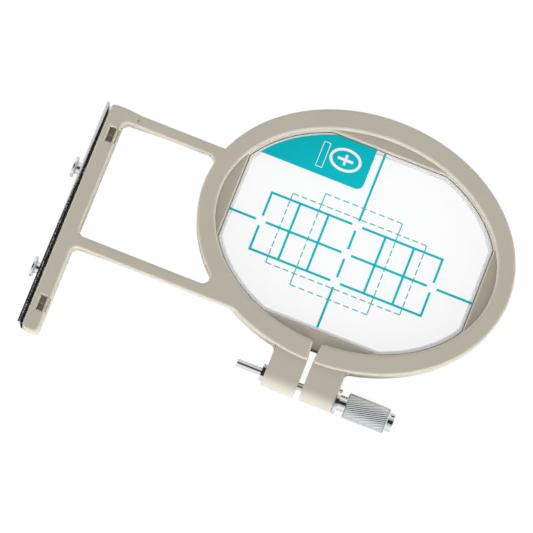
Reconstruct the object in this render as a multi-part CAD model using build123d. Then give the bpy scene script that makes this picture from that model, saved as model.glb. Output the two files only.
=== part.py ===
from build123d import *
import math
import os

# A small machine embroidery hoop, lying flat with its working side up.
# Everything is drawn about the centre of the oval ring, with +X away from the carriage bar
# and -Y towards the clamp, and moved at the end so that the origin is under the middle.

# Outer frame: the oval ring
ring_half_length = 53.4
ring_half_width = 42.3
ring_height = 9.2
ring_wall = 4.1
rim_width_at_sides = 6.0
rim_width_at_clamp = 6.9
rim_thickness = 2.0
rim_inner_round = 0.9
outer_round = 0.8

# Outer frame: the clamp, two lugs either side of a split
split_width = 1.8
split_mouth_width = 3.1
split_mouth_round = 1.3
split_offset = 0.3
lug_width = 11.4
lug_step = 0.85
screw_reach = 8.4
screw_height = 4.3
lug_flare_round = 2.0
lug_edge_round = 0.4

# Outer frame: the carriage bar and its two arms
bar_width = 5.55
bar_length = 79.6
bar_rise = 13.2
bar_corner_round = 1.6
arm_span = 31.85
arm_depth = 3.0
arm_root_depth = 7.0
arm_root_length = 15.0
upper_arm_width = 3.9
upper_arm_drop = 0.45
upper_arm_slope_length = 5.0
lower_arm_width = 4.0
lower_arm_distance = 35.5
arm_corner_round = 2.4
gate_mark_radius = 0.5
gate_mark_depth = 0.2
gate_mark_distance = 4.6

# Outer frame: windows in the bar where the plate's tabs hook in
window_width = 2.2
window_length = 4.9
window_wall = 0.5
window_floor = 1.2
window_chamfer = 0.55
window_rib = 0.7
window_rib_drop = 1.6
window_rib_depth = 1.2
window_notch_width = 0.55
window_notch_depth = 2.5
upper_window_distance = 10.0
lower_window_rise = 9.8

# Inner frame, with flats in its opening and a ledge that carries the template
cloth_gap = 0.3
lift_gap = 0.3
opening_gap = 0.3
side_flat_depth = 4.2
end_flat_depth = 3.3
opening_round = 0.6
ledge_reach = 0.6
ledge_height = 3.8

# Template sheet
template_gap = 0.3
template_thickness = 1.2

# Mounting plate on the bar
plate_thickness = 1.4
plate_height = 8.2
plate_overhang = 0.2
plate_gap = 0.4
plate_lip_length = 1.7
plate_lip_lean = 0.9
plate_lip_thickness = 0.5
plate_taper_length = 3.2
plate_taper = 0.6
plate_end_round = 0.35
tab_width = 3.4
tab_reach = 1.0
tab_hook = 0.6
tab_gap = 0.15

# Studs riveted to the plate
stud_spacing = 35.5
upper_stud_distance = 23.7
stud_head_radius = 3.5
stud_head_thickness = 0.9
stud_neck_radius = 1.9
stud_neck_flare = 0.5
stud_neck_length = 1.7
stud_shank_radius = 1.3
stud_edge_round = 0.3
rivet_radius = 2.1
rivet_thickness = 0.8
rivet_pocket_gap = 0.3
fixed_fit_gap = 0.02

# Clamp screw, washer and nut
shank_radius = 1.25
running_gap = 0.03
lug_hole_radius = 1.5
tail_length = 9.8
washer_radius = 4.3
washer_thickness = 1.1
washer_bore_gap = 0.1
neck_radius = 2.65
neck_length = 2.5
knob_radius = 4.15
knob_length = 14.4
knob_chamfer = 0.4
tip_chamfer = 0.3
boss_radius = 3.1
boss_groove = 0.25
boss_groove_depth = 0.6
boss_length = 1.7
slot_width = 0.7
slot_depth = 1.3
slot_turn = 38
nut_across_flats = 5.0
nut_thickness = 2.0
nut_seat_depth = 0.8
nut_seat_gap = 0.05

# Every cut runs this far past what it cuts
overrun = 1.0

# Shares of the outer oval, squared, that part the edges of an opening from those outside it
inner_edge_share = 0.92
inner_frame_edge_share = 0.8

# Places that follow from the sizes
flange_half_length = ring_half_length - rim_width_at_sides
flange_half_width = ring_half_width - rim_width_at_clamp
wall_half_length = ring_half_length - ring_wall
wall_half_width = ring_half_width - ring_wall
rim_underside = ring_height - rim_thickness
inner_height = rim_underside - lift_gap
inner_half_length = wall_half_length - cloth_gap
inner_half_width = wall_half_width - cloth_gap
opening_half_length = flange_half_length - opening_gap
opening_half_width = flange_half_width - opening_gap
lug_height = ring_height - lug_step
screw_distance = ring_half_width + screw_reach
lug_left = split_offset - split_width / 2 - lug_width
lug_right = split_offset + split_width / 2 + lug_width
bar_right = -ring_half_length - arm_span
bar_left = bar_right - bar_width
bar_top = bar_rise
bar_bottom = bar_rise - bar_length
plate_right = bar_left - plate_gap
plate_left = plate_right - plate_thickness
plate_low = (ring_height - plate_height) / 2
plate_bottom = bar_bottom - plate_overhang
plate_strip_end = plate_bottom + plate_lip_length
stud_height = ring_height / 2
upper_stud_y = bar_top - upper_stud_distance
lower_stud_y = upper_stud_y - stud_spacing
stud_face = plate_left - stud_neck_length - stud_head_thickness
upper_window_y = bar_top - upper_window_distance
lower_window_y = bar_bottom + lower_window_rise
window_right = bar_right - window_notch_width - window_wall
window_left = window_right - window_width
tab_height = stud_height - plate_thickness / 2
washer_face = lug_right + washer_thickness
knob_start = washer_face + neck_length
knob_end = knob_start + knob_length
boss_start = knob_end + boss_groove
boss_end = boss_start + boss_length
nut_right = lug_left + nut_seat_depth
nut_left = nut_right - nut_thickness
tail_end = lug_left - tail_length
flat_half_length = opening_half_length - side_flat_depth
flat_half_width = opening_half_width - end_flat_depth
template_top = ledge_height + template_thickness

# The origin is on the table under the middle of the whole object
middle_x = (stud_face + ring_half_length) / 2
middle_y = (ring_half_width + plate_bottom) / 2


upward = (0, 0, 1)
towards_clamp = (0, -1, 0)


def oval(half_length, half_width, low, high):
    """An upright block of oval section between two heights."""
    return Pos(0, 0, low) * extrude(Ellipse(half_length, half_width), high - low)


def block(x_low, x_high, y_low, y_high, z_low, z_high):
    """A rectangular block given by its corners."""
    centre = Pos((x_low + x_high) / 2, (y_low + y_high) / 2, (z_low + z_high) / 2)
    return centre * Box(x_high - x_low, y_high - y_low, z_high - z_low)


def rod(radius, x_low, x_high, y, z):
    """A round bar along X."""
    return Pos((x_low + x_high) / 2, y, z) * Rot(0, 90, 0) * Cylinder(radius, x_high - x_low)


def upright_edges(part, x_low, x_high, y_low, y_high):
    """The vertical edges that stand inside a rectangle seen from above."""

    def chosen(edge):
        foot = edge.start_point()
        rise = edge.end_point() - foot
        upright = abs(rise.Z) > abs(rise.X) + abs(rise.Y)
        return upright and x_low < foot.X < x_high and y_low < foot.Y < y_high

    return part.edges().filter_by(chosen)


def plan():
    """The moulding's outline from above, at full height: oval, arms, bar, opening and split."""
    body = oval(ring_half_length, ring_half_width, 0, ring_height)
    body += block(bar_left, bar_right, bar_bottom, bar_top, 0, ring_height)
    upper_high = bar_top - upper_arm_drop
    body += block(bar_right, 0, upper_high - upper_arm_width, upper_high, 0, ring_height)
    slope = Polyline(
        (bar_right, bar_top),
        (bar_right + upper_arm_slope_length, upper_high),
        (bar_right, upper_high),
        close=True,
    )
    body += extrude(make_face(slope), ring_height, dir=upward)
    body += block(bar_right, 0, -lower_arm_distance, lower_arm_width - lower_arm_distance, 0, ring_height)
    body -= oval(flange_half_length, flange_half_width, -overrun, ring_height + overrun)
    return body - split()


def under_arms():
    """The space below the arms, which are deeper where they leave the bar."""
    side = Polyline(
        (bar_right, -overrun),
        (bar_right, ring_height - arm_root_depth),
        (bar_right + arm_root_length, ring_height - arm_depth),
        (0, ring_height - arm_depth),
        (0, -overrun),
        close=True,
    )
    start = Plane.XZ.offset(-ring_half_width) * make_face(side)
    space = extrude(start, ring_half_width - bar_bottom, dir=towards_clamp)
    return space - oval(ring_half_length, ring_half_width, -2 * overrun, ring_height)


def lug_flare(side, direction):
    """The hollow-rounded root where a lug's side leaves the ring."""
    far = side + direction * lug_flare_round
    ring_edge = -ring_half_width * math.sqrt(1 - (far / ring_half_length) ** 2)
    arc_y = ring_edge - lug_flare_round
    body = block(min(side, far), max(side, far), arc_y, ring_edge + ring_wall / 2, 0, lug_height)
    return body - Pos(far, arc_y, lug_height / 2) * Cylinder(lug_flare_round, 2 * lug_height)


def lugs():
    """The two clamp lugs as one block with a half-round end about the screw."""
    rear = -ring_half_width + ring_wall / 2
    body = block(lug_left, lug_right, -screw_distance, rear, 0, lug_height)
    body += rod(lug_height / 2, lug_left, lug_right, -screw_distance, lug_height / 2)
    ends = body.edges().filter_by(lambda edge: edge.center().Y < -screw_distance - lug_height / 4)
    ends = ends.filter_by(lambda edge: edge.length > lug_height)
    body = fillet(ends, lug_edge_round)
    body += lug_flare(lug_left, -1)
    body += lug_flare(lug_right, 1)
    return body - oval(wall_half_length, wall_half_width, -overrun, ring_height) - split()


def split():
    """The cut through the ring and between the lugs, wider at the opening."""
    mouth = flange_half_width - overrun
    far = screw_distance + lug_height
    outline = Polyline(
        (split_offset - split_mouth_width / 2, -mouth),
        (split_offset + split_mouth_width / 2, -mouth),
        (split_offset + split_width / 2, -ring_half_width),
        (split_offset + split_width / 2, -far),
        (split_offset - split_width / 2, -far),
        (split_offset - split_width / 2, -ring_half_width),
        close=True,
    )
    return Pos(0, 0, -overrun) * extrude(make_face(outline), ring_height + 2 * overrun, dir=upward)


def window(y):
    """The hollow of one window, and the notch beyond its thin wall."""
    low = y - window_length / 2
    high = y + window_length / 2
    hollow = block(window_left, window_right, low, high, window_floor, ring_height + overrun)
    hollow += block(window_right + window_wall, bar_right + overrun, low, high,
                    ring_height - window_notch_depth, ring_height + overrun)
    rib_top = ring_height - window_rib_drop
    rib_low = rib_top - window_rib_depth
    return hollow - block(window_left, window_right, y - window_rib / 2, y + window_rib / 2, rib_low, rib_top)


def window_bevel(y):
    """The slope round a window's mouth, on the three sides away from its thin wall."""
    spot = Pos((window_left + window_right) / 2, y, ring_height - window_chamfer)
    mouth = Rectangle(window_width, window_length)
    body = spot * extrude(mouth, window_chamfer + overrun, taper=-45)
    return body & block(bar_left, window_right, y - window_length, y + window_length, 0, 2 * ring_height)


def tab_slot(y):
    """The slot in the bar's left wall that a tab of the plate passes through."""
    low = y - tab_width / 2 - tab_gap
    high = y + tab_width / 2 + tab_gap
    floor = tab_height - tab_gap
    ceiling = tab_height + plate_thickness + tab_gap
    return block(bar_left - overrun, window_left + overrun, low, high, floor, ceiling)


def rivet_pocket(y):
    """Room in the bar for a stud's riveted end."""
    depth = rivet_thickness - plate_gap + rivet_pocket_gap
    return rod(rivet_radius + rivet_pocket_gap, bar_left - overrun, bar_left + depth, y, stud_height)


def nut_prism(across_flats, x_low, x_high):
    """A hexagonal prism along X with a flat facing up."""
    outline = RegularPolygon(across_flats / 2, 6, major_radius=False)
    return Pos(x_low, -screw_distance, screw_height) * extrude(Plane.YZ * outline, x_high - x_low)


def top_edges(part):
    """The edges round the highest face."""
    return part.faces().sort_by(Axis.Z)[-1].edges()


def how_far_out(spot):
    """1 on the ring's outer oval, less inside it and more outside."""
    return (spot.X / ring_half_length) ** 2 + (spot.Y / ring_half_width) ** 2


def rounded_plan():
    """The outline with its upright corners rounded, then its top edges."""
    body = plan()
    corners = upright_edges(body, bar_left - overrun, bar_left + overrun, bar_bottom - overrun,
                            bar_top + overrun)
    corners += upright_edges(body, bar_right - overrun, bar_right + overrun, bar_bottom - overrun,
                             bar_bottom + overrun)
    body = fillet(corners, bar_corner_round)
    body = fillet(upright_edges(body, bar_right - overrun, -ring_half_length / 2,
                                -lower_arm_distance - overrun, bar_top - upper_arm_width), arm_corner_round)
    mouth_left = split_offset - split_mouth_width
    mouth_right = split_offset + split_mouth_width
    body = fillet(upright_edges(body, mouth_left, mouth_right, -flange_half_width - overrun,
                                -flange_half_width + overrun), split_mouth_round)
    inner = top_edges(body).filter_by(lambda edge: how_far_out(edge.center()) < inner_edge_share)
    body = fillet(inner, rim_inner_round)
    outer = top_edges(body).filter_by(lambda edge: how_far_out(edge.center()) > inner_edge_share)
    return fillet(outer, outer_round)


def outer_frame():
    """The one-piece moulding: ring, clamp lugs, arms and carriage bar."""
    body = rounded_plan() - under_arms()
    body -= oval(wall_half_length, wall_half_width, -overrun, rim_underside)
    body += lugs()
    for y in (upper_window_y, lower_window_y):
        body -= window(y)
        body -= window_bevel(y)
        body -= tab_slot(y)
    for y in (upper_stud_y, lower_stud_y):
        body -= rivet_pocket(y)
    body -= rod(lug_hole_radius, lug_left - overrun, lug_right + overrun, -screw_distance, screw_height)
    body -= nut_prism(nut_across_flats + 2 * nut_seat_gap, lug_left - overrun, nut_right)
    mark_y = bar_top - upper_arm_drop - upper_arm_width / 2
    mark = Cylinder(gate_mark_radius, 2 * gate_mark_depth)
    return body - Pos(bar_right + gate_mark_distance, mark_y, ring_height) * mark


def flatted_oval(inset, low, high):
    """The opening's shape, an oval cut by four flats, drawn in by an inset."""
    body = oval(opening_half_length - inset, opening_half_width - inset, low, high)
    half_x = flat_half_length - inset
    half_y = flat_half_width - inset
    return body & block(-half_x, half_x, -half_y, half_y, low, high)


def inner_frame():
    """The ring that carries the cloth inside the outer one, with a ledge for the template."""
    body = oval(inner_half_length, inner_half_width, 0, inner_height)
    body -= flatted_oval(0, ledge_height, inner_height + overrun)
    body -= flatted_oval(ledge_reach, -overrun, ledge_height + overrun)
    rim = top_edges(body).filter_by(lambda edge: how_far_out(edge.center()) < inner_frame_edge_share)
    return fillet(rim, opening_round)


def template_sheet():
    """The clear sheet that lies on the ledge inside the opening."""
    return flatted_oval(template_gap, ledge_height, template_top)


def mounting_plate():
    """The pressed strip on the bar, with a bent lip at one end and two hooked tabs."""
    outline = Polyline(
        (plate_left, plate_strip_end),
        (plate_left, bar_top),
        (plate_right - plate_taper, bar_top),
        (plate_right, bar_top - plate_taper_length),
        (plate_right, plate_strip_end),
        (plate_right + plate_lip_lean, plate_bottom),
        (plate_right + plate_lip_lean - plate_lip_thickness, plate_bottom),
        (plate_right - plate_lip_thickness, plate_strip_end),
        close=True,
    )
    body = Pos(0, 0, plate_low) * extrude(make_face(outline), plate_height, dir=upward)
    tip_low = bar_top - plate_end_round
    tip = upright_edges(body, plate_left - overrun, plate_right, tip_low, bar_top + overrun)
    body = fillet(tip, plate_end_round)
    tab_end = window_left + tab_reach
    for y in (upper_window_y, lower_window_y):
        low = y - tab_width / 2
        high = y + tab_width / 2
        body += block(plate_right, tab_end, low, high, tab_height, tab_height + plate_thickness)
        body += block(window_left + tab_gap, tab_end, low, high, tab_height - tab_hook, tab_height)
    for y in (upper_stud_y, lower_stud_y):
        hole_radius = stud_shank_radius + fixed_fit_gap
        body -= rod(hole_radius, plate_left - overrun, plate_right + overrun, y, stud_height)
    return body


def turned(points, y, z):
    """A solid of revolution about a line along X, from (place along X, radius) points."""
    outline = make_face(Polyline(*points, close=True))
    return Pos(0, y, z) * revolve(outline, Axis.X)


def stud(y):
    """A headed stud through the plate, riveted over in a pocket of the bar."""
    under_head = stud_face + stud_head_thickness
    body = turned(
        [
            (stud_face, 0),
            (stud_face, stud_head_radius),
            (under_head, stud_head_radius),
            (under_head, stud_neck_radius + stud_neck_flare),
            (under_head + stud_neck_flare, stud_neck_radius),
            (plate_left, stud_neck_radius),
            (plate_left, stud_shank_radius),
            (plate_right, stud_shank_radius),
            (plate_right, rivet_radius),
            (plate_right + rivet_thickness, rivet_radius),
            (plate_right + rivet_thickness, 0),
        ],
        y,
        stud_height,
    )
    rims = body.edges().filter_by(lambda edge: edge.length > 2 * 3 * stud_head_radius)
    return fillet(rims, stud_edge_round)


def clamp_screw():
    """The turned screw: threaded shank, neck, knob and slotted boss in one piece."""
    body = turned(
        [
            (tail_end, 0),
            (tail_end, shank_radius - tip_chamfer),
            (tail_end + tip_chamfer, shank_radius),
            (washer_face, shank_radius),
            (washer_face, neck_radius),
            (knob_start, neck_radius),
            (knob_start, knob_radius - knob_chamfer),
            (knob_start + knob_chamfer, knob_radius),
            (knob_end - knob_chamfer, knob_radius),
            (knob_end, knob_radius - knob_chamfer),
            (knob_end, boss_radius - boss_groove_depth),
            (boss_start, boss_radius - boss_groove_depth),
            (boss_start, boss_radius),
            (boss_end, boss_radius),
            (boss_end, 0),
        ],
        -screw_distance,
        screw_height,
    )
    slot_start = boss_end - slot_depth
    half = slot_width / 2
    slot = block(slot_start, boss_end + overrun, -half, half, -knob_radius, knob_radius)
    return body - Pos(0, -screw_distance, screw_height) * Rot(-slot_turn, 0, 0) * slot


def washer():
    """The flat washer between the right lug and the screw's neck."""
    body = rod(washer_radius, lug_right, washer_face, -screw_distance, screw_height)
    bore = rod(shank_radius + washer_bore_gap, lug_right - overrun, washer_face + overrun, -screw_distance,
               screw_height)
    return body - bore


def hex_nut():
    """The nut, half sunk in the left lug."""
    body = nut_prism(nut_across_flats, nut_left, nut_right)
    return body - rod(shank_radius + running_gap, nut_left - overrun, nut_right + overrun, -screw_distance,
                      screw_height)


def main():
    os.makedirs("parts", exist_ok=True)
    pieces = {
        "outer_frame": outer_frame(),
        "inner_frame": inner_frame(),
        "template_sheet": template_sheet(),
        "mounting_plate": mounting_plate(),
        "upper_stud": stud(upper_stud_y),
        "lower_stud": stud(lower_stud_y),
        "clamp_screw": clamp_screw(),
        "washer": washer(),
        "hex_nut": hex_nut(),
    }
    for name, piece in pieces.items():
        export_step(Pos(-middle_x, -middle_y, 0) * piece, f"parts/{name}.step")


main()
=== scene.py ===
import math
import bpy
import numpy as np
from mathutils import Matrix, Vector


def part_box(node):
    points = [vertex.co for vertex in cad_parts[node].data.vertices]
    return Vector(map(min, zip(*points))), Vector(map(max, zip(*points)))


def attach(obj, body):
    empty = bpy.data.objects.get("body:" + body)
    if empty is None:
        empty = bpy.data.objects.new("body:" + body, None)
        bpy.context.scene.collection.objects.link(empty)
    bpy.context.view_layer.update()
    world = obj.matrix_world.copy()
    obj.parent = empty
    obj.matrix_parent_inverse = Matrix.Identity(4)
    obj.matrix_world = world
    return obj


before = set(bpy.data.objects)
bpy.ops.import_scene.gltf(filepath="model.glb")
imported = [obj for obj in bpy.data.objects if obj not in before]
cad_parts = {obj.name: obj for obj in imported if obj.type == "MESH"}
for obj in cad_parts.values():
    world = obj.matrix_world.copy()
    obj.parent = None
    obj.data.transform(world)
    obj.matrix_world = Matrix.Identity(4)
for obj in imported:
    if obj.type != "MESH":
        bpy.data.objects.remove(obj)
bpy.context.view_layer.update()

bl_info = {
    "name": "Machine Embroidery Hoop",
    "version": (1, 0, 0),
    "blender": (4, 5, 0),
    "location": "3D View > Sidebar > Hoop",
    "description": "Finishes for a machine embroidery hoop: moulded frames, printed template and clamp screw",
    "category": "Object",
}

MM = 0.001

# Corners of the CAD pieces that the scene's own pieces and finishes are fitted to
SHEET_LOW, SHEET_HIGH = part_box("template_sheet")
SHEET_MIDDLE = (SHEET_LOW + SHEET_HIGH) / 2
SHEET_TOP = SHEET_HIGH.z
PLATE_LOW, PLATE_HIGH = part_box("mounting_plate")
PLATE_LEFT = PLATE_LOW.x
PLATE_TOP = PLATE_HIGH.z
SCREW_LOW, SCREW_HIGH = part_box("clamp_screw")
SCREW_AXIS_Y = (SCREW_LOW.y + SCREW_HIGH.y) / 2
SCREW_AXIS_Z = (SCREW_LOW.z + SCREW_HIGH.z) / 2

# The studio tent's light by height in the sky, from the horizon at 0 to straight above at 1
TENT_LIGHT = (
    (0.0, (4.3, 4.5, 4.75)), (0.28, (3.8, 4.0, 4.2)), (0.45, (1.0, 1.0, 1.0)), (0.7, (0.5, 0.5, 0.5)),
    (0.93, (0.46, 0.46, 0.46)), (0.965, (0.05, 0.05, 0.05)),
)
# Metal shows the tent's cloth itself, which is about as bright as white paper
TENT_CLOTH = (
    (0.0, (1.0, 1.01, 1.02)), (0.45, (1.0, 1.01, 1.0)), (0.7, (0.62, 0.63, 0.62)), (0.9, (0.5, 0.5, 0.5)),
    (0.94, (0.03, 0.03, 0.03)),
)


def linear(code):
    """A colour given as sRGB hex, as linear red, green, blue and 1."""
    values = [int(code[place:place + 2], 16) / 255 for place in (1, 3, 5)]
    return tuple(v / 12.92 if v <= 0.04045 else ((v + 0.055) / 1.055) ** 2.4 for v in values) + (1.0,)


class ColourSettings(bpy.types.PropertyGroup):
    """The colours of the hoop's plastic, sheet, inks and metals."""

    plastic_dark: bpy.props.FloatVectorProperty(
        name="Plastic, darker", description="Darker shade of the moulded frames", size=4, subtype="COLOR",
        min=0.0, max=1.0, default=linear("#b2a999"))
    plastic_light: bpy.props.FloatVectorProperty(
        name="Plastic, lighter", description="Lighter shade of the moulded frames", size=4, subtype="COLOR",
        min=0.0, max=1.0, default=linear("#bab1a2"))
    sheet: bpy.props.FloatVectorProperty(
        name="Sheet", description="Acrylic of the template sheet", size=4, subtype="COLOR",
        min=0.0, max=1.0, default=linear("#f9f8f7"))
    line_ink: bpy.props.FloatVectorProperty(
        name="Line ink", description="Ink of the grid and the corner panel", size=4, subtype="COLOR",
        min=0.0, max=1.0, default=linear("#00bac3"))
    dash_ink: bpy.props.FloatVectorProperty(
        name="Dash ink", description="Thinner ink of the dashed fields", size=4, subtype="COLOR",
        min=0.0, max=1.0, default=linear("#45bcb9"))
    mark_ink: bpy.props.FloatVectorProperty(
        name="Mark ink", description="Ink of the mark on the corner panel", size=4, subtype="COLOR",
        min=0.0, max=1.0, default=linear("#f4f6f5"))
    strip: bpy.props.FloatVectorProperty(
        name="Strip", description="Rolled face of the steel strip", size=4, subtype="COLOR",
        min=0.0, max=1.0, default=linear("#efeeea"))
    nickel: bpy.props.FloatVectorProperty(
        name="Nickel", description="Plate on the screw, washer, nut and studs", size=4, subtype="COLOR",
        min=0.0, max=1.0, default=linear("#e9eae9"))


class SheetSettings(bpy.types.PropertyGroup):
    """The template sheet's clear middle and its pale edge band, painted light that covers the shade under the
    sheet's edge.
    """

    side_flat_depth: bpy.props.FloatProperty(
        name="Side flat depth", description="How far the flats at X cut into the sheet's oval",
        unit="LENGTH", default=4.2 * MM)
    end_flat_depth: bpy.props.FloatProperty(
        name="End flat depth", description="How far the flats at Y cut into the sheet's oval",
        unit="LENGTH", default=3.3 * MM)
    # The edge band is painted light: a pale, nearly opaque band along the sheet's edge that covers the shade
    # beneath it
    edge_width: bpy.props.FloatProperty(
        name="Edge width", description="Width of the frosted edge", unit="LENGTH", default=1.2 * MM)
    painted_edge_opacity: bpy.props.FloatProperty(
        name="Edge opacity", description="Opacity of the frosted edge", subtype="FACTOR",
        min=0.0, max=1.0, default=0.85)
    clear_opacity: bpy.props.FloatProperty(
        name="Clear opacity", description="Opacity inside the frosted edge", subtype="FACTOR",
        min=0.0, max=1.0, default=0.1)


class PrintSettings(bpy.types.PropertyGroup):
    """The measuring grid printed on the template sheet."""

    line_width: bpy.props.FloatProperty(
        name="Line width", description="Width of a solid line", unit="LENGTH", default=0.8 * MM)
    dash_width: bpy.props.FloatProperty(
        name="Dash width", description="Width of a dashed line", unit="LENGTH", default=0.4 * MM)
    dash_pitch: bpy.props.FloatProperty(
        name="Dash pitch", description="From dash to dash", unit="LENGTH", default=3.0 * MM)
    dash_share: bpy.props.FloatProperty(
        name="Dash share", description="Inked share of a dash's pitch", subtype="FACTOR",
        min=0.0, max=1.0, default=0.68)
    cell: bpy.props.FloatProperty(
        name="Cell", description="Size of one cell of the grid", unit="LENGTH", default=10.0 * MM)
    centre_x: bpy.props.FloatProperty(
        name="Centre X", description="The print's centre, right of the sheet's middle",
        unit="LENGTH", default=-1.6 * MM)
    centre_y: bpy.props.FloatProperty(
        name="Centre Y", description="The print's centre, above the sheet's middle",
        unit="LENGTH", default=-4.47 * MM)
    ink_thickness: bpy.props.FloatProperty(
        name="Ink", description="Thickness of the ink", unit="LENGTH", default=0.03 * MM)


class CarriageSettings(bpy.types.PropertyGroup):
    """The web across each window of the carriage bar."""

    tab_reach: bpy.props.FloatProperty(
        name="Tab reach", description="How far the strip's tabs reach into a window",
        unit="LENGTH", default=1.0 * MM)
    window_width: bpy.props.FloatProperty(
        name="Width", description="Size of a window along X", unit="LENGTH", default=2.2 * MM)
    window_length: bpy.props.FloatProperty(
        name="Length", description="Size of a window along Y", unit="LENGTH", default=4.9 * MM)
    window_from_end: bpy.props.FloatProperty(
        name="From end", description="From the strip's end to a window's middle",
        unit="LENGTH", default=10.0 * MM)
    web_low: bpy.props.FloatProperty(
        name="Web underside", description="Height of a web's underside", unit="LENGTH", default=5.5 * MM)
    web_high: bpy.props.FloatProperty(
        name="Web top", description="Height of a web's top", unit="LENGTH", default=7.3 * MM)
    web_seat: bpy.props.FloatProperty(
        name="Seat", description="How far a web goes into the walls", unit="LENGTH", default=0.1 * MM)


class ClampSettings(bpy.types.PropertyGroup):
    """The knob's knurl and the screw's thread."""

    knob_from_end: bpy.props.FloatProperty(
        name="Knurl start", description="From the screw's right end back to where the knurl starts",
        unit="LENGTH", default=16.2 * MM)
    knob_length: bpy.props.FloatProperty(
        name="Knurl length", description="Length of the knurl", unit="LENGTH", default=14.0 * MM)
    knob_radius: bpy.props.FloatProperty(
        name="Knurl root", description="Radius under the knurl", unit="LENGTH", default=4.15 * MM)
    knurl_height: bpy.props.FloatProperty(
        name="Knurl height", description="Height of a tooth", unit="LENGTH", default=0.12 * MM)
    knurl_teeth: bpy.props.IntProperty(name="Knurl teeth", description="Teeth round the knob", default=36)
    knurl_rows: bpy.props.IntProperty(
        name="Knurl rows", description="Rows of points along the knob", default=240)
    knurl_slant: bpy.props.FloatProperty(
        name="Knurl slant", description="Slant of the teeth from the screw's axis", subtype="ANGLE",
        default=math.radians(28.0))
    shank_radius: bpy.props.FloatProperty(
        name="Shank", description="Radius of the threaded shank", unit="LENGTH", default=1.25 * MM)
    thread_pitch: bpy.props.FloatProperty(
        name="Pitch", description="Pitch of the thread", unit="LENGTH", default=0.45 * MM)
    thread_height: bpy.props.FloatProperty(
        name="Thread height", description="Height of the thread's ridge", unit="LENGTH", default=0.03 * MM)
    split_from: bpy.props.FloatProperty(
        name="Split start", description="Left side of the outer frame's split, along X",
        unit="LENGTH", default=20.4 * MM)
    split_to: bpy.props.FloatProperty(
        name="Split end", description="Right side of the outer frame's split, along X",
        unit="LENGTH", default=22.0 * MM)


class StageSettings(bpy.types.PropertyGroup):
    """Where the camera stands, how it is aimed, and its lens."""

    camera_place: bpy.props.FloatVectorProperty(
        name="Camera", description="Where the camera stands", size=3, subtype="TRANSLATION", unit="LENGTH",
        default=(0.02179, -0.16077, 1.0022))
    camera_yaw: bpy.props.FloatProperty(
        name="Yaw", description="Aim to the right of straight down", subtype="ANGLE", default=-0.025253)
    camera_pitch: bpy.props.FloatProperty(
        name="Pitch", description="Aim away from the clamp, from straight down", subtype="ANGLE",
        default=0.156020)
    camera_roll: bpy.props.FloatProperty(
        name="Roll", description="Turn about the view", subtype="ANGLE", default=0.379312)
    camera_lens: bpy.props.FloatProperty(
        name="Lens", description="Focal length on a 36 mm sensor", unit="CAMERA", default=208.9)


def add(tree, kind, settings=None, values=None, links=None):
    """Adds a node: settings are its own properties, values its unlinked inputs, links its linked ones."""
    node = tree.nodes.new(kind)
    for name, value in (settings or {}).items():
        setattr(node, name, value)
    for name, value in (values or {}).items():
        node.inputs[name].default_value = value
    for name, socket in (links or {}).items():
        tree.links.new(socket, node.inputs[name])
    return node


def new_material(name):
    """A material and its node tree, with no nodes in it yet."""
    material = bpy.data.materials.new(name)
    material.use_nodes = True
    tree = material.node_tree
    tree.nodes.clear()
    return material, tree


def dress(thing, material):
    """Puts one material on every face of an object."""
    thing.data.materials.clear()
    thing.data.materials.append(material)


def moulded_abs(colours):
    """ABS, injection moulded against a spark-eroded tool: a warm satin grey with a faint even grain."""
    # Faint clouds in the plastic, from the way it flowed
    cloud_size = 16.67 * MM
    # The mould's grain is about 0.05 mm; it is drawn at 0.3 mm, the least that shows
    grain_size = 0.303 * MM
    grain_depth = 0.04 * MM
    material, tree = new_material("moulded ABS")
    place = add(tree, "ShaderNodeTexCoord")
    cloud = add(tree, "ShaderNodeTexNoise", values={"Scale": 1 / cloud_size, "Detail": 3.0},
                links={"Vector": place.outputs["Object"]})
    colour = add(tree, "ShaderNodeMix", {"data_type": "RGBA"},
                 {"A": colours.plastic_dark, "B": colours.plastic_light}, {"Factor": cloud.outputs["Fac"]})
    grain = add(tree, "ShaderNodeTexNoise", values={"Scale": 1 / grain_size, "Detail": 2.0},
                links={"Vector": place.outputs["Object"]})
    bump = add(tree, "ShaderNodeBump", values={"Strength": 0.12, "Distance": grain_depth},
               links={"Height": grain.outputs["Fac"]})
    skin = add(tree, "ShaderNodeBsdfPrincipled", values={"Roughness": 0.45, "IOR": 1.54},
               links={"Base Color": colour.outputs["Result"], "Normal": bump.outputs["Normal"]})
    add(tree, "ShaderNodeOutputMaterial", links={"Surface": skin.outputs["BSDF"]})
    return material


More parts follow.
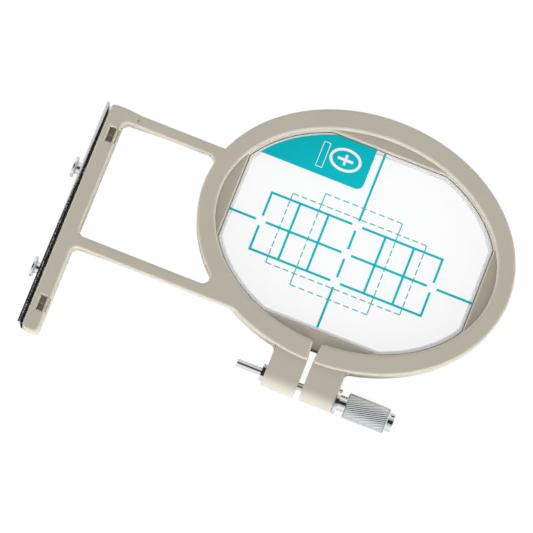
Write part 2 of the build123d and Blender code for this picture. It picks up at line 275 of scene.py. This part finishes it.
def clear_acrylic(sheet, colours):
    """Clear moulded acrylic sheet: it shows what lies under it with a gloss, and a pale, nearly opaque band
    along its edge is painted light that covers the shade beneath the edge.
    The distance in from the edge is the least of those to the four flats and to the sheet's oval."""
    # Fine scuffs from sliding on the cloth
    scuff_size = 3.846 * MM
    # The painted edge light is even over this share of its width, and fades over the rest
    even_share = 0.6
    half = (SHEET_HIGH - SHEET_LOW) / 2
    oval_x = half.x + sheet.side_flat_depth
    oval_y = half.y + sheet.end_flat_depth
    material, tree = new_material("clear acrylic sheet")
    place = add(tree, "ShaderNodeTexCoord")
    scuffs = add(tree, "ShaderNodeTexNoise", values={"Scale": 1 / scuff_size, "Detail": 5.0},
                 links={"Vector": place.outputs["Object"]})
    offset = add(tree, "ShaderNodeVectorMath", {"operation": "SUBTRACT"}, {1: tuple(SHEET_MIDDLE)},
                 {0: place.outputs["Object"]})
    outward = add(tree, "ShaderNodeVectorMath", {"operation": "ABSOLUTE"},
                  links={0: offset.outputs["Vector"]})
    inward = add(tree, "ShaderNodeVectorMath", {"operation": "SUBTRACT"}, {0: tuple(half)},
                 {1: outward.outputs["Vector"]})
    to_sides = add(tree, "ShaderNodeSeparateXYZ", links={"Vector": inward.outputs["Vector"]})
    to_flats = add(tree, "ShaderNodeMath", {"operation": "MINIMUM"},
                   links={0: to_sides.outputs["X"], 1: to_sides.outputs["Y"]})
    share = add(tree, "ShaderNodeVectorMath", {"operation": "MULTIPLY"}, {1: (1 / oval_x, 1 / oval_y, 0)},
                {0: outward.outputs["Vector"]})
    reach = add(tree, "ShaderNodeVectorMath", {"operation": "LENGTH"}, links={0: share.outputs["Vector"]})
    to_oval = add(tree, "ShaderNodeMapRange", {"clamp": False},
                  {"From Min": 1.0, "From Max": 0.0, "To Min": 0.0, "To Max": oval_y},
                  {"Value": reach.outputs["Value"]})
    nearest = add(tree, "ShaderNodeMath", {"operation": "MINIMUM"},
                  links={0: to_flats.outputs["Value"], 1: to_oval.outputs["Result"]})
    # Painted light: the pale edge band's opacity, full near the edge and falling to clear inside it
    painted_edge_light = add(tree, "ShaderNodeMapRange",
                values={"From Min": even_share * sheet.edge_width, "From Max": sheet.edge_width,
                        "To Min": sheet.painted_edge_opacity, "To Max": sheet.clear_opacity},
                links={"Value": nearest.outputs["Value"]})
    gloss = add(tree, "ShaderNodeMapRange", values={"To Min": 0.06, "To Max": 0.16},
                links={"Value": scuffs.outputs["Fac"]})
    skin = add(tree, "ShaderNodeBsdfPrincipled", values={"Base Color": colours.sheet, "IOR": 1.49},
               links={"Roughness": gloss.outputs["Result"], "Alpha": painted_edge_light.outputs["Result"]})
    add(tree, "ShaderNodeOutputMaterial", links={"Surface": skin.outputs["BSDF"]})
    return material


def screen_ink(name, colour):
    """Screen-printing ink on acrylic: flat and opaque, with the mesh's faint unevenness in its gloss."""
    # The screen's mesh is about 0.1 mm; it is drawn at 0.7 mm, the least that shows
    weave_size = 0.6667 * MM
    material, tree = new_material(name)
    place = add(tree, "ShaderNodeTexCoord")
    weave = add(tree, "ShaderNodeTexNoise", values={"Scale": 1 / weave_size},
                links={"Vector": place.outputs["Object"]})
    gloss = add(tree, "ShaderNodeMapRange", values={"To Min": 0.4, "To Max": 0.55},
                links={"Value": weave.outputs["Fac"]})
    skin = add(tree, "ShaderNodeBsdfPrincipled", values={"Base Color": colour, "Specular IOR Level": 0.15},
               links={"Roughness": gloss.outputs["Result"]})
    add(tree, "ShaderNodeOutputMaterial", links={"Surface": skin.outputs["BSDF"]})
    return material


def sheared_steel(colours):
    """Cold-rolled steel strip: smooth rolled faces, and an edge that the shear left bright along one side
    and torn into dark specks along the other, the specks wider towards the strip's lipped end."""
    # The torn grains are about 0.05 mm; they are drawn at 0.4 mm, the least that shows
    speck_size = 0.3846 * MM
    speck_depth = 0.1 * MM
    # Across the strip the torn part starts near its left side at the lipped end, far right at the other
    lipped_y, plain_y = -30 * MM, 20 * MM
    lipped_start, plain_start = PLATE_LEFT - 0.1 * MM, PLATE_LEFT + 0.95 * MM
    fade = 0.05 * MM
    # The sheared edge is the strip's top, which this band of height leads into
    edge_low, edge_high = PLATE_TOP - 0.2 * MM, PLATE_TOP - 0.1 * MM
    # The specks are brightest along the middle of the strip
    bright_line, bright_reach = PLATE_LEFT + 0.65 * MM, 0.6 * MM
    material, tree = new_material("sheared steel strip")
    place = add(tree, "ShaderNodeTexCoord")
    spot = add(tree, "ShaderNodeSeparateXYZ", links={"Vector": place.outputs["Object"]})
    specks = add(tree, "ShaderNodeTexNoise",
                 values={"Scale": 1 / speck_size, "Detail": 2.0, "Roughness": 0.6},
                 links={"Vector": place.outputs["Object"]})
    start = add(tree, "ShaderNodeMapRange",
                values={"From Min": lipped_y, "From Max": plain_y, "To Min": lipped_start,
                        "To Max": plain_start},
                links={"Value": spot.outputs["Y"]})
    inside = add(tree, "ShaderNodeMath", {"operation": "SUBTRACT"},
                 links={0: spot.outputs["X"], 1: start.outputs["Result"]})
    torn = add(tree, "ShaderNodeMapRange", values={"From Min": -fade, "From Max": fade},
               links={"Value": inside.outputs["Value"]})
    edge = add(tree, "ShaderNodeMapRange", values={"From Min": edge_low, "From Max": edge_high},
               links={"Value": spot.outputs["Z"]})
    torn_edge = add(tree, "ShaderNodeMath", {"operation": "MULTIPLY"},
                    links={0: torn.outputs["Result"], 1: edge.outputs["Result"]})
    middle = add(tree, "ShaderNodeMath", {"operation": "SUBTRACT"}, {1: bright_line},
                 {0: spot.outputs["X"]})
    away = add(tree, "ShaderNodeMath", {"operation": "ABSOLUTE"}, links={0: middle.outputs["Value"]})
    lift = add(tree, "ShaderNodeMapRange", values={"From Max": bright_reach, "To Min": 0.1, "To Max": -0.25},
               links={"Value": away.outputs["Value"]})
    bright = add(tree, "ShaderNodeMath", {"operation": "ADD"},
                 links={0: specks.outputs["Fac"], 1: lift.outputs["Result"]})
    dark = add(tree, "ShaderNodeValToRGB", links={"Fac": bright.outputs["Value"]})
    pit, grain = dark.color_ramp.elements
    pit.position = 0.45
    pit.color = linear("#1f1c18")
    grain.position = 0.72
    grain.color = linear("#cfcdc6")
    colour = add(tree, "ShaderNodeMix", {"data_type": "RGBA"}, {"A": colours.strip},
                 {"Factor": torn_edge.outputs["Value"], "B": dark.outputs["Color"]})
    rough = add(tree, "ShaderNodeMapRange", values={"To Min": 0.32, "To Max": 0.6},
                links={"Value": edge.outputs["Result"]})
    bump = add(tree, "ShaderNodeBump", values={"Strength": 0.4, "Distance": speck_depth},
               links={"Height": specks.outputs["Fac"]})
    skin = add(tree, "ShaderNodeBsdfPrincipled", values={"Metallic": 0.85},
               links={"Base Color": colour.outputs["Result"], "Roughness": rough.outputs["Result"],
                      "Normal": bump.outputs["Normal"]})
    add(tree, "ShaderNodeOutputMaterial", links={"Surface": skin.outputs["BSDF"]})
    return material


def nickel_plate(name, colour, roughness):
    """Nickel plate on turned steel: bright and slightly warm, with the lathe's fine rings about X."""
    # The lathe's rings are about 0.05 mm apart; they are drawn 0.26 mm apart, the least that shows. A
    # wave's spacing is a tenth of pi over its scale
    ring_spacing = 0.2618 * MM
    ring_depth = 0.02 * MM
    material, tree = new_material(name)
    place = add(tree, "ShaderNodeTexCoord")
    rings = add(tree, "ShaderNodeTexWave", {"wave_type": "BANDS", "bands_direction": "X"},
                {"Scale": math.pi / 10 / ring_spacing, "Distortion": 0.4},
                {"Vector": place.outputs["Object"]})
    bump = add(tree, "ShaderNodeBump", values={"Strength": 0.06, "Distance": ring_depth},
               links={"Height": rings.outputs["Fac"]})
    skin = add(tree, "ShaderNodeBsdfPrincipled",
               values={"Base Color": colour, "Metallic": 1.0, "Roughness": roughness},
               links={"Normal": bump.outputs["Normal"]})
    add(tree, "ShaderNodeOutputMaterial", links={"Surface": skin.outputs["BSDF"]})
    return material


def knurled_nickel(sizes):
    """Nickel plate pressed into a knurl: bright crests, and grooves darkened grey with painted shade.
    The painted shade thins with the distance from the screw's axis."""
    # The painted shade is full up to the first share of a tooth's height, and gone above the second
    shade_full_share, shade_gone_share = 0.15, 0.8
    shade_full_radius = sizes.knob_radius + shade_full_share * sizes.knurl_height
    shade_gone_radius = sizes.knob_radius + shade_gone_share * sizes.knurl_height
    material, tree = new_material("nickel plated knurl")
    place = add(tree, "ShaderNodeTexCoord")
    axis = add(tree, "ShaderNodeVectorMath", {"operation": "SUBTRACT"}, {1: (0, SCREW_AXIS_Y, SCREW_AXIS_Z)},
               {0: place.outputs["Object"]})
    flat = add(tree, "ShaderNodeVectorMath", {"operation": "MULTIPLY"}, {1: (0, 1, 1)},
               {0: axis.outputs["Vector"]})
    reach = add(tree, "ShaderNodeVectorMath", {"operation": "LENGTH"}, links={0: flat.outputs["Vector"]})
    depth = add(tree, "ShaderNodeMapRange", values={"From Min": shade_full_radius, "From Max": shade_gone_radius},
                links={"Value": reach.outputs["Value"]})
    # Painted shade: dark grey in the grooves, paling to bright nickel on the crests
    colour = add(tree, "ShaderNodeMix", {"data_type": "RGBA"},
                 {"A": linear("#8f9b9b"), "B": linear("#f9fdfd")}, {"Factor": depth.outputs["Result"]})
    skin = add(tree, "ShaderNodeBsdfPrincipled", values={"Metallic": 1.0, "Roughness": 0.24},
               links={"Base Color": colour.outputs["Result"]})
    add(tree, "ShaderNodeOutputMaterial", links={"Surface": skin.outputs["BSDF"]})
    return material


def mesh_piece(name, points, faces, smooth=False):
    """A new mesh object from an array of points and a list of faces."""
    mesh = bpy.data.meshes.new(name)
    mesh.from_pydata(points.reshape(-1, 3).tolist(), [], faces)
    mesh.validate()
    if smooth:
        mesh.shade_smooth()
    else:
        mesh.shade_flat()
    piece = bpy.data.objects.new(name, mesh)
    bpy.context.scene.collection.objects.link(piece)
    return piece


def tube_faces(rows, columns, ring=False):
    """The faces of a grid of points whose columns close into a loop: quads between each row and the next,
    and then a face over each end, or for a ring quads from the last row on to the first."""
    row = np.arange(rows if ring else rows - 1)[:, None] * columns
    next_row = (row + columns) % (rows * columns)
    column = np.arange(columns)[None, :]
    after = (column + 1) % columns
    quads = np.stack([row + column, row + after, next_row + after, next_row + column], -1)
    faces = quads.reshape(-1, 4).tolist()
    if not ring:
        faces.append(list(range(columns))[::-1])
        faces.append(list(range((rows - 1) * columns, rows * columns)))
    return faces


def flat_bars(name, bars, low, high):
    """Flat bars as thin boxes between two heights. A bar is (x0, y0, x1, y1), two opposite corners."""
    # Bars that run along Y stop this share of the thickness lower, so that crossings show one face
    step = 0.2
    box = np.array(bars, float)
    corners = box[:, [0, 1, 2, 1, 2, 3, 0, 3]].reshape(-1, 4, 2)
    points = np.empty((len(box), 8, 3))
    points[:, :4, :2] = corners
    points[:, 4:, :2] = corners
    points[:, :4, 2] = low
    lengthwise = box[:, 3] - box[:, 1] > box[:, 2] - box[:, 0]
    points[:, 4:, 2] = (high - step * (high - low) * lengthwise)[:, None]
    sides = np.array([[3, 2, 1, 0], [4, 5, 6, 7], [0, 1, 5, 4], [1, 2, 6, 5], [2, 3, 7, 6], [3, 0, 4, 7]])
    faces = (sides[None] + 8 * np.arange(len(box))[:, None, None]).reshape(-1, 4)
    return mesh_piece(name, points, faces.tolist())


def across(x0, x1, y, width):
    """A bar along X: its sides lie half the width below and above y."""
    return (x0, y - width / 2, x1, y + width / 2)


def along(x, y0, y1, width):
    """A bar along Y: its sides lie half the width left and right of x."""
    return (x - width / 2, y0, x + width / 2, y1)


def dashes(start, end, pitch, share):
    """Start and end of each dash between two places. The dashes stand a pitch apart, or as near to it as
    lets the first and last dash touch the two places."""
    dash = pitch * share
    count = max(1, round((end - start - dash) / pitch))
    step = (end - start - dash) / count
    return [(start + k * step, start + k * step + dash) for k in range(count + 1)]


def solid_lines(ink):
    """The grid's cells and its two cross lines about the print's centre. The cross lines leave a gap at the
    centre and where they pass the grid's border, and the lines that they would meet there leave one too."""
    cell = ink.cell
    width = ink.line_width
    half = width / 2
    gap = 0.17 * cell
    long_end = 3 * cell
    # The cross lines run on past the cells, each to its own length
    left_tip, right_tip = -4.13 * cell, 4.43 * cell
    lower_tip, upper_tip = -2.6 * cell, 3.59 * cell
    bars = []
    for side in (-1, 1):
        for y in (-cell, cell):
            bars.append(across(*sorted((side * gap, side * (long_end + half))), y, width))
        bars.append(across(*sorted((side * gap, side * (long_end - gap))), 0, width))
        for x in (-long_end, long_end):
            bars.append(along(x, *sorted((side * gap, side * cell)), width))
        for x in (-2 * cell, -cell, cell, 2 * cell):
            bars.append(along(x, *sorted((0, side * cell)), width))
        bars.append(along(0, *sorted((side * gap, side * (cell - gap))), width))
    bars.append(across(left_tip, -long_end - gap, 0, width))
    bars.append(across(long_end + gap, right_tip, 0, width))
    bars.append(along(0, cell + gap, upper_tip, width))
    bars.append(along(0, lower_tip, -cell - gap, width))
    return bars


def dashed_lines(ink):
    """Two dashed rectangles about the print's centre, a wide and a tall one, for turned and moved fields.
    Where the tall one stands past the wide one, its sides are solid."""
    width = ink.dash_width
    wide_x, wide_y = 2.35 * ink.cell, 1.23 * ink.cell
    tall_x, tall_y = 1.35 * ink.cell, 1.62 * ink.cell
    bars = []
    for x, y in ((wide_x, wide_y), (tall_x, tall_y)):
        for start, end in dashes(-x, x, ink.dash_pitch, ink.dash_share):
            bars += [across(start, end, side * y, width) for side in (-1, 1)]
    for x in (wide_x, tall_x):
        for start, end in dashes(-wide_y, wide_y, ink.dash_pitch, ink.dash_share):
            bars += [along(side * x, start, end, width) for side in (-1, 1)]
    for side in (-1, 1):
        for x in (-tall_x, tall_x):
            bars.append(along(x, *sorted((side * wide_y, side * tall_y)), width))
    return bars


def print_centre(ink):
    """The print's centre, which lies a little off the middle of the sheet."""
    return np.array([SHEET_MIDDLE.x + ink.centre_x, SHEET_MIDDLE.y + ink.centre_y])


def on_sheet(bars, ink):
    """Bars about the print's centre, moved to their place on the sheet."""
    return np.array(bars) + np.tile(print_centre(ink), 2)


def corner_panel(ink):
    """The solid panel in the sheet's corner. For x across it, y runs from the lower edge, which bends up
    round the corner, to the upper one, which follows the sheet's oval and then its flat."""
    centre_x, centre_y = print_centre(ink)
    right = centre_x - 2.95 * MM
    low = centre_y + 21.3 * MM
    bend = 2.4 * MM
    # The panel keeps inside the sheet's own oval and flat
    oval_x, oval_y = 46.0 * MM, 34.4 * MM
    flat = SHEET_HIGH.y - SHEET_MIDDLE.y - 0.03 * MM
    tip = SHEET_MIDDLE.x - oval_x * math.sqrt(1 - ((low - SHEET_MIDDLE.y) / oval_y) ** 2)
    straight_points, bend_points = 60, 12
    straight = np.linspace(tip, right - bend, straight_points)
    angle = np.linspace(0, math.pi / 2, bend_points)
    x = np.concatenate([straight[:-1], right - bend * (1 - np.sin(angle))])
    past = np.maximum(0, x - (right - bend)) / bend
    lower = low + bend * (1 - np.sqrt(np.maximum(0, 1 - past ** 2)))
    oval = oval_y * np.sqrt(np.maximum(0, 1 - ((x - SHEET_MIDDLE.x) / oval_x) ** 2))
    upper = SHEET_MIDDLE.y + np.minimum(oval, flat)
    # The tip keeps a hair of width, so that no face there is empty
    upper[0] = lower[0] + 0.001 * MM
    y = np.stack([upper, lower, lower, upper], 1)
    z = SHEET_TOP + ink.ink_thickness * np.array([1, 1, 0, 0])
    points = np.stack(np.broadcast_arrays(x[:, None], y, z), -1)
    return mesh_piece("corner_panel", points, tube_faces(*y.shape))


def ring_band(name, centre, half, width, low, high, steps=96):
    """A flat oval band. Its angle goes round, and across it runs from the oval less half its width to the
    oval plus half; the sides stand upright between the two heights."""
    angle = np.linspace(0, 2 * math.pi, steps, endpoint=False)[:, None]
    reach = np.array([-1, 1, 1, -1]) * width / 2
    x = centre[0] + (half[0] + reach) * np.cos(angle)
    y = centre[1] + (half[1] + reach) * np.sin(angle)
    z = np.array([high, high, low, low])
    points = np.stack(np.broadcast_arrays(x, y, z), -1)
    return mesh_piece(name, points, tube_faces(*x.shape, ring=True))


def panel_mark(ink):
    """A plain mark on the panel: an upright strip outline beside an oval band with a cross, like a bar beside
    its hoop. It lies on the panel's ink and is as thick."""
    low = SHEET_TOP + ink.ink_thickness
    high = low + ink.ink_thickness
    # Places from the print's centre
    oval = np.array([-11.5, 29.0]) * MM
    left, right, bottom, top = np.array([-20.1, -17.9, 23.8, 32.4]) * MM
    thin, bold = 0.22 * MM, 0.9 * MM
    arm, near, far = 2.7 * MM, 0.5 * MM, 1.8 * MM
    band = ring_band("mark_oval", print_centre(ink) + oval, (5.0 * MM, 3.45 * MM), 0.95 * MM, low, high)
    bars = [
        across(left, right, bottom, thin),
        across(left, right, top, thin),
        along(left, bottom, top, thin),
        along(right, bottom, top, thin),
        across(oval[0] - arm, oval[0] + arm, oval[1], bold),
        along(oval[0], oval[1] - far, oval[1] - near, bold),
        along(oval[0], oval[1] + near, oval[1] + far, bold),
    ]
    return [band, flat_bars("mark_strip", on_sheet(bars, ink), low, high)]


def window_webs(sizes):
    """The webs across the bar's two windows, as bars. The strip's right side is that of its tabs, which end
    inside the windows, so a window starts the tabs' reach to the left of it."""
    left = PLATE_HIGH.x - sizes.tab_reach - sizes.web_seat
    right = left + sizes.window_width + 2 * sizes.web_seat
    reach = sizes.window_length / 2 + sizes.web_seat
    middles = (PLATE_LOW.y + sizes.window_from_end, PLATE_HIGH.y - sizes.window_from_end)
    return [(left, y - reach, right, y + reach) for y in middles]


def triangle_wave(turns):
    """A wave that falls evenly from 1 to 0 and rises back to 1 over each whole turn."""
    return np.abs(turns % 1 - 0.5) * 2


def turned_relief(name, x, angle, radius, relief, sink, run_out, smooth=False):
    """A turned piece about the screw's axis. Its radius is the plain one plus the relief at each place along
    X and angle. Over the run-out at each end it falls to the plain one less the sink, inside the solid."""
    ends = np.clip(np.minimum(x - x[0], x[-1] - x) / run_out, 0, 1)
    reach = radius - sink + (sink + relief) * ends
    y = SCREW_AXIS_Y + reach * np.cos(angle)
    z = SCREW_AXIS_Z + reach * np.sin(angle)
    points = np.stack(np.broadcast_arrays(x, y, z), -1)
    return mesh_piece(name, points, tube_faces(*reach.shape), smooth)


def knob_knurl(sizes):
    """The knob's knurl. Its relief is the height times a weighted sum of two triangle waves round the knob,
    which slant to opposite sides along X; the first weighs far more, so most lines run one way."""
    main_share, cross_share = 0.93, 0.07
    points_per_tooth = 6
    start = SCREW_HIGH.x - sizes.knob_from_end
    teeth = sizes.knurl_teeth
    x = np.linspace(start, start + sizes.knob_length, sizes.knurl_rows)[:, None]
    angle = np.linspace(0, 2 * math.pi, teeth * points_per_tooth, endpoint=False)[None, :]
    slant = (x - start) * math.tan(sizes.knurl_slant) / sizes.knob_radius
    main_wave = triangle_wave((angle + slant) * teeth / (2 * math.pi))
    cross_wave = triangle_wave((angle - slant) * teeth / (2 * math.pi))
    relief = sizes.knurl_height * (main_share * main_wave + cross_share * cross_wave)
    return turned_relief("knob_knurl", x, angle, sizes.knob_radius, relief, sink=0.05 * MM, run_out=0.3 * MM)


def thread_ridge(name, start, end, sizes):
    """A helical ridge. Its relief is the height times a triangle wave of the place along X over the pitch,
    less the angle's share of a turn."""
    rows_per_pitch, points_round = 10, 24
    pitch = sizes.thread_pitch
    x = np.linspace(start, end, int((end - start) / pitch * rows_per_pitch))[:, None]
    angle = np.linspace(0, 2 * math.pi, points_round, endpoint=False)[None, :]
    relief = sizes.thread_height * triangle_wave((x - start) / pitch - angle / (2 * math.pi))
    return turned_relief(name, x, angle, sizes.shank_radius, relief, sink=0.02 * MM, run_out=0.15 * MM,
                         smooth=True)


def white_floor():
    """White paper that stays white to the camera and keeps a faint shadow."""
    # Seen by the camera, this share of the paper glows evenly, and the rest takes the shadow
    glow_share = 0.9
    material, tree = new_material("white paper sweep")
    rays = add(tree, "ShaderNodeLightPath")
    seen = add(tree, "ShaderNodeMath", {"operation": "MAXIMUM"},
               links={0: rays.outputs["Is Camera Ray"], 1: rays.outputs["Is Transmission Ray"]})
    share = add(tree, "ShaderNodeMath", {"operation": "MULTIPLY"}, {1: glow_share},
                {0: seen.outputs["Value"]})
    paper = add(tree, "ShaderNodeBsdfDiffuse", values={"Color": linear("#f4f4f4")})
    white = add(tree, "ShaderNodeEmission", values={"Strength": 1.05})
    mix = add(tree, "ShaderNodeMixShader",
              links={0: share.outputs["Value"], 1: paper.outputs["BSDF"], 2: white.outputs["Emission"]})
    add(tree, "ShaderNodeOutputMaterial", links={"Surface": mix.outputs["Shader"]})
    return material


def light_world():
    """A white studio tent: bright low round the sides, most towards the clamp, dimmer overhead and dark just
    about the camera."""
    clamp_side = (0.3, -0.954, 0.0)
    world = bpy.data.worlds.new("studio tent")
    bpy.context.scene.world = world
    world.use_nodes = True
    tree = world.node_tree
    tree.nodes.clear()
    place = add(tree, "ShaderNodeTexCoord")
    parts = add(tree, "ShaderNodeSeparateXYZ", links={"Vector": place.outputs["Generated"]})
    skies = []
    for levels in (TENT_LIGHT, TENT_CLOTH):
        sky = add(tree, "ShaderNodeValToRGB", links={"Fac": parts.outputs["Z"]})
        stops = sky.color_ramp.elements
        stops[0].color = (*levels[0][1], 1)
        stops[1].color = (*levels[-1][1], 1)
        for height, level in levels[1:]:
            stops.new(height).color = (*level, 1)
        skies.append(sky.outputs["Color"])
    side = add(tree, "ShaderNodeVectorMath", {"operation": "DOT_PRODUCT"}, {1: clamp_side},
               {0: place.outputs["Generated"]})
    favour = add(tree, "ShaderNodeMapRange",
                 values={"From Min": -1.0, "From Max": 1.0, "To Min": 0.5, "To Max": 1.5},
                 links={"Value": side.outputs["Value"]})
    rays = add(tree, "ShaderNodeLightPath")
    tent = add(tree, "ShaderNodeBackground", links={"Color": skies[0], "Strength": favour.outputs["Result"]})
    cloth = add(tree, "ShaderNodeBackground", links={"Color": skies[1]})
    white = add(tree, "ShaderNodeBackground", values={"Strength": 1.0})
    by_gloss = add(tree, "ShaderNodeMixShader",
                   links={0: rays.outputs["Is Glossy Ray"], 1: tent.outputs["Background"],
                          2: cloth.outputs["Background"]})
    mix = add(tree, "ShaderNodeMixShader",
              links={0: rays.outputs["Is Camera Ray"], 1: by_gloss.outputs["Shader"],
                     2: white.outputs["Background"]})
    add(tree, "ShaderNodeOutputWorld", links={"Surface": mix.outputs["Shader"]})


def set_camera(stage):
    """The camera almost straight above, turned so that the hoop lies slanted in the picture."""
    forward = Vector((math.sin(stage.camera_yaw), math.sin(stage.camera_pitch), -1)).normalized()
    right = forward.cross(Vector((0, 1, 0))).normalized()
    up = right.cross(forward)
    turn = stage.camera_roll
    side = math.cos(turn) * right + math.sin(turn) * up
    top = math.cos(turn) * up - math.sin(turn) * right
    data = bpy.data.cameras.new("camera")
    data.lens = stage.camera_lens
    data.sensor_width = 36
    data.clip_end = 10
    camera = bpy.data.objects.new("camera", data)
    bpy.context.scene.collection.objects.link(camera)
    aim = Matrix((side, top, -forward)).transposed().to_4x4()
    camera.matrix_world = Matrix.Translation(Vector(stage.camera_place)) @ aim
    bpy.context.scene.camera = camera


class HOOP_OT_frames(bpy.types.Operator):
    """Finish the moulded outer and inner frames"""

    bl_idname = "hoop.frames"
    bl_label = "Moulded frames"

    def execute(self, context):
        plastic = moulded_abs(context.scene.hoop_colours)
        for name in ("outer_frame", "inner_frame"):
            dress(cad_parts[name], plastic)
        return {"FINISHED"}


class HOOP_OT_template(bpy.types.Operator):
    """Finish the template sheet and print its grid"""

    bl_idname = "hoop.template"
    bl_label = "Printed template"

    def execute(self, context):
        colours = context.scene.hoop_colours
        ink = context.scene.hoop_print
        dress(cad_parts["template_sheet"], clear_acrylic(context.scene.hoop_sheet, colours))
        teal = screen_ink("teal screen ink", colours.line_ink)
        pale_teal = screen_ink("thin teal screen ink", colours.dash_ink)
        white = screen_ink("white screen ink", colours.mark_ink)
        top = SHEET_TOP + ink.ink_thickness
        grid = flat_bars("grid_lines", on_sheet(solid_lines(ink), ink), SHEET_TOP, top)
        dress(grid, teal)
        fields = flat_bars("dashed_fields", on_sheet(dashed_lines(ink), ink), SHEET_TOP, top)
        dress(fields, pale_teal)
        panel = corner_panel(ink)
        dress(panel, teal)
        mark = panel_mark(ink)
        for piece in mark:
            dress(piece, white)
        for piece in (grid, fields, panel, *mark):
            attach(piece, "template")
        return {"FINISHED"}


class HOOP_OT_carriage(bpy.types.Operator):
    """Finish the steel strip, the studs and the windows of the carriage bar"""

    bl_idname = "hoop.carriage"
    bl_label = "Carriage strip, studs and webs"

    def execute(self, context):
        colours = context.scene.hoop_colours
        dress(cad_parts["mounting_plate"], sheared_steel(colours))
        plate = nickel_plate("nickel plated studs", colours.nickel, roughness=0.14)
        for name in ("upper_stud", "lower_stud"):
            dress(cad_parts[name], plate)
        sizes = context.scene.hoop_carriage
        webs = flat_bars("window_webs", window_webs(sizes), sizes.web_low, sizes.web_high)
        dress(webs, moulded_abs(colours))
        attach(webs, "outer")
        return {"FINISHED"}


class HOOP_OT_clamp(bpy.types.Operator):
    """Finish the clamp screw, with its knurl and thread, the washer and the nut"""

    bl_idname = "hoop.clamp"
    bl_label = "Clamp screw, washer and nut"

    def execute(self, context):
        sizes = context.scene.hoop_clamp
        bright = nickel_plate("nickel plated turned steel", context.scene.hoop_colours.nickel, roughness=0.12)
        for name in ("washer", "hex_nut", "clamp_screw"):
            dress(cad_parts[name], bright)
        knurl = knob_knurl(sizes)
        dress(knurl, knurled_nickel(sizes))
        # The thread starts behind the tip's chamfer and ends just short of the nut
        tail_start = SCREW_LOW.x + 0.35 * MM
        tail_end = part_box("hex_nut")[0].x - 0.1 * MM
        tail = thread_ridge("tail_thread", tail_start, tail_end, sizes)
        gap = thread_ridge("split_thread", sizes.split_from, sizes.split_to, sizes)
        for piece in (tail, gap):
            dress(piece, bright)
        for piece in (knurl, tail, gap):
            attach(piece, "screw")
        return {"FINISHED"}


class HOOP_OT_stage(bpy.types.Operator):
    """Set the floor, the light and the camera"""

    bl_idname = "hoop.stage"
    bl_label = "Floor, light and camera"

    def execute(self, context):
        # Metres from the middle of the floor to its sides
        reach = 3.0
        corners = np.array([[-1, -1, 0], [1, -1, 0], [1, 1, 0], [-1, 1, 0]]) * reach
        floor = mesh_piece("floor", corners, [[0, 1, 2, 3]])
        dress(floor, white_floor())
        light_world()
        set_camera(context.scene.hoop_stage)
        context.scene.view_settings.view_transform = "Standard"
        return {"FINISHED"}


class HOOP_PT_panel(bpy.types.Panel):
    """The hoop's pieces and their settings"""

    bl_idname = "HOOP_PT_panel"
    bl_label = "Embroidery hoop"
    bl_space_type = "VIEW_3D"
    bl_region_type = "UI"
    bl_category = "Hoop"

    def draw(self, context):
        for step in STEPS:
            self.layout.operator(step.bl_idname)
        for name, group in GROUPS.items():
            box = self.layout.box()
            for setting in group.__annotations__:
                box.prop(getattr(context.scene, name), setting)


STEPS = (HOOP_OT_frames, HOOP_OT_template, HOOP_OT_carriage, HOOP_OT_clamp, HOOP_OT_stage)
GROUPS = {
    "hoop_colours": ColourSettings,
    "hoop_sheet": SheetSettings,
    "hoop_print": PrintSettings,
    "hoop_carriage": CarriageSettings,
    "hoop_clamp": ClampSettings,
    "hoop_stage": StageSettings,
}


def register():
    for name, group in GROUPS.items():
        bpy.utils.register_class(group)
        setattr(bpy.types.Scene, name, bpy.props.PointerProperty(type=group))
    for kind in STEPS + (HOOP_PT_panel,):
        bpy.utils.register_class(kind)


def unregister():
    for kind in reversed(STEPS + (HOOP_PT_panel,)):
        bpy.utils.unregister_class(kind)
    for name, group in GROUPS.items():
        delattr(bpy.types.Scene, name)
        bpy.utils.unregister_class(group)


def main():
    register()
    bpy.ops.hoop.frames()
    bpy.ops.hoop.template()
    bpy.ops.hoop.carriage()
    bpy.ops.hoop.clamp()
    bpy.ops.hoop.stage()


if __name__ == "__main__":
    main()
